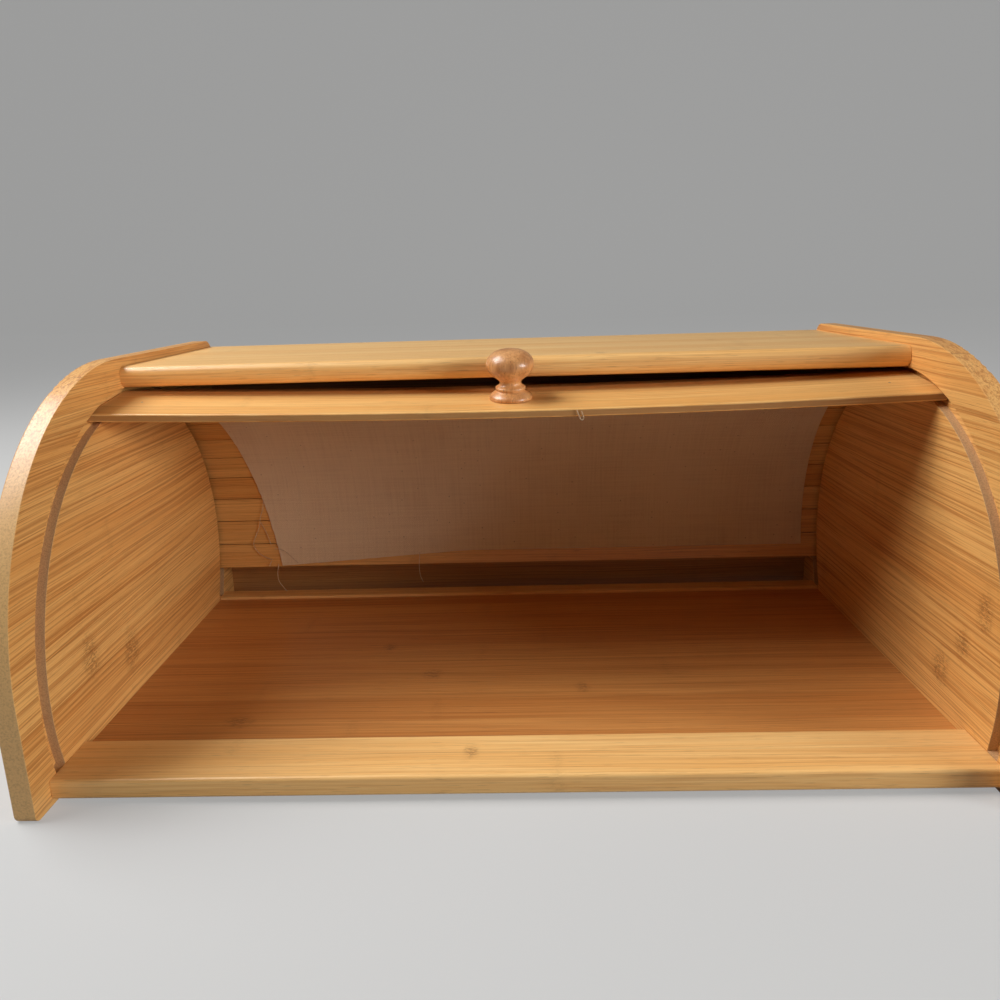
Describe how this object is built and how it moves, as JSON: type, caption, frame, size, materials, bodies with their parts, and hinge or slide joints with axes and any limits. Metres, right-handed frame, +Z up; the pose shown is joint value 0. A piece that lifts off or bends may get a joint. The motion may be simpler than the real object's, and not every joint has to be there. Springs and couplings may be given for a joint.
{
  "type": "roll-top bread box",
  "caption": "Bamboo bread box whose canvas-backed slatted front rolls up over the top and down behind the bread, running in grooves in the round-fronted side panels.",
  "frame": {"origin": "on the ground, at the middle of the width and of the depth", "axes": "+X to the right seen from the front, -Y the open front, +Z up"},
  "size_m": [0.388, 0.25, 0.1708],
  "materials": {
    "side_bamboo": "satin lacquer, grain front to back",
    "board_bamboo": "satin lacquer, grain along the width",
    "floor_bamboo": "satin lacquer, grain along the width",
    "slat_bamboo": "satin lacquer outside, sawn inside",
    "beech": "turned and lacquered",
    "dowel_wood": "plain, glued",
    "canvas": "unbleached plain weave",
    "steel": "zinc plated"
  },
  "bodies": {
    "case": {"left_side": "side_bamboo", "right_side": "side_bamboo", "top_board": "board_bamboo", "floor_panel": "floor_bamboo", "front_rail": "board_bamboo", "rear_rail": "board_bamboo", "back_panel": "board_bamboo", "top_board_dowels": "dowel_wood", "front_rail_dowels": "dowel_wood", "rear_rail_dowels": "dowel_wood", "back_panel_dowels": "dowel_wood"},
    "lead_slat": {"lead_slat": "slat_bamboo", "lead_slat_brads": "steel", "pull_knob": "beech", "knob_screw": "steel", "canvas_backing": "canvas"},
    "slat_01": {"slat_01": "slat_bamboo"},
    "slat_02": {"slat_02": "slat_bamboo"},
    "slat_03": {"slat_03": "slat_bamboo"},
    "slat_04": {"slat_04": "slat_bamboo"},
    "slat_05": {"slat_05": "slat_bamboo"},
    "slat_06": {"slat_06": "slat_bamboo"},
    "slat_07": {"slat_07": "slat_bamboo"},
    "slat_08": {"slat_08": "slat_bamboo"},
    "slat_09": {"slat_09": "slat_bamboo"},
    "slat_10": {"slat_10": "slat_bamboo"},
    "slat_11": {"slat_11": "slat_bamboo"},
    "slat_12": {"slat_12": "slat_bamboo"}
  },
  "joints": [
    {"name": "roll_top", "type": "hinge", "parent": "case", "child": "lead_slat", "pos_m": [0, 0.006, 0.036], "axis": [1, 0, 0], "range_deg": [-0.36, 81.62], "deforming": ["canvas_backing"]},
    {"name": "slat_01_swing", "type": "hinge", "parent": "case", "child": "slat_01", "pos_m": [0, 0.00759, 0.03412], "axis": [1, 0, 0], "range_deg": [-0.65, 80.31]},
    {"name": "slat_02_swing", "type": "hinge", "parent": "case", "child": "slat_02", "pos_m": [0, 0.00639, 0.036], "axis": [1, 0, 0], "range_deg": [-0.66, 81.76]},
    {"name": "slat_03_swing", "type": "hinge", "parent": "case", "child": "slat_03", "pos_m": [0, 0.00546, 0.03795], "axis": [1, 0, 0], "range_deg": [-0.66, 83.22]},
    {"name": "slat_04_swing", "type": "hinge", "parent": "case", "child": "slat_04", "pos_m": [0, 0.00483, 0.03995], "axis": [1, 0, 0], "range_deg": [-0.67, 84.67]},
    {"name": "slat_05_swing", "type": "hinge", "parent": "case", "child": "slat_05", "pos_m": [0, 0.00449, 0.04196], "axis": [1, 0, 0], "range_deg": [-0.67, 86.13]},
    {"name": "slat_06_swing", "type": "hinge", "parent": "case", "child": "slat_06", "pos_m": [0, 0.00444, 0.04393], "axis": [1, 0, 0], "range_deg": [-0.68, 87.58]},
    {"name": "slat_07_swing", "type": "hinge", "parent": "case", "child": "slat_07", "pos_m": [0, 0.00465, 0.04582], "axis": [1, 0, 0], "range_deg": [-0.69, 89.04]},
    {"name": "slat_08_swing", "type": "hinge", "parent": "case", "child": "slat_08", "pos_m": [0, 0.00513, 0.04761], "axis": [1, 0, 0], "range_deg": [-0.69, 90.5]},
    {"name": "slat_09_swing", "type": "hinge", "parent": "case", "child": "slat_09", "pos_m": [0, 0.00583, 0.04926], "axis": [1, 0, 0], "range_deg": [-0.7, 91.95]},
    {"name": "slat_10_swing", "type": "hinge", "parent": "case", "child": "slat_10", "pos_m": [0, 0.00675, 0.05073], "axis": [1, 0, 0], "range_deg": [-0.71, 93.41]},
    {"name": "slat_11_swing", "type": "hinge", "parent": "case", "child": "slat_11", "pos_m": [0, 0.00785, 0.05202], "axis": [1, 0, 0], "range_deg": [-0.71, 94.86]},
    {"name": "slat_12_swing", "type": "hinge", "parent": "case", "child": "slat_12", "pos_m": [0, 0.01, 0.054], "axis": [1, 0, 0], "range_deg": [-0.72, 97.47]}
  ],
  "couplings": [
    {"joint": "slat_01_swing", "follows": "roll_top", "ratio": 0.98025},
    {"joint": "slat_02_swing", "follows": "roll_top", "ratio": 0.99809},
    {"joint": "slat_03_swing", "follows": "roll_top", "ratio": 1.0159},
    {"joint": "slat_04_swing", "follows": "roll_top", "ratio": 1.0338},
    {"joint": "slat_05_swing", "follows": "roll_top", "ratio": 1.0516},
    {"joint": "slat_06_swing", "follows": "roll_top", "ratio": 1.0694},
    {"joint": "slat_07_swing", "follows": "roll_top", "ratio": 1.0872},
    {"joint": "slat_08_swing", "follows": "roll_top", "ratio": 1.1051},
    {"joint": "slat_09_swing", "follows": "roll_top", "ratio": 1.1229},
    {"joint": "slat_10_swing", "follows": "roll_top", "ratio": 1.1407},
    {"joint": "slat_11_swing", "follows": "roll_top", "ratio": 1.1586},
    {"joint": "slat_12_swing", "follows": "roll_top", "ratio": 1.1905}
  ]
}
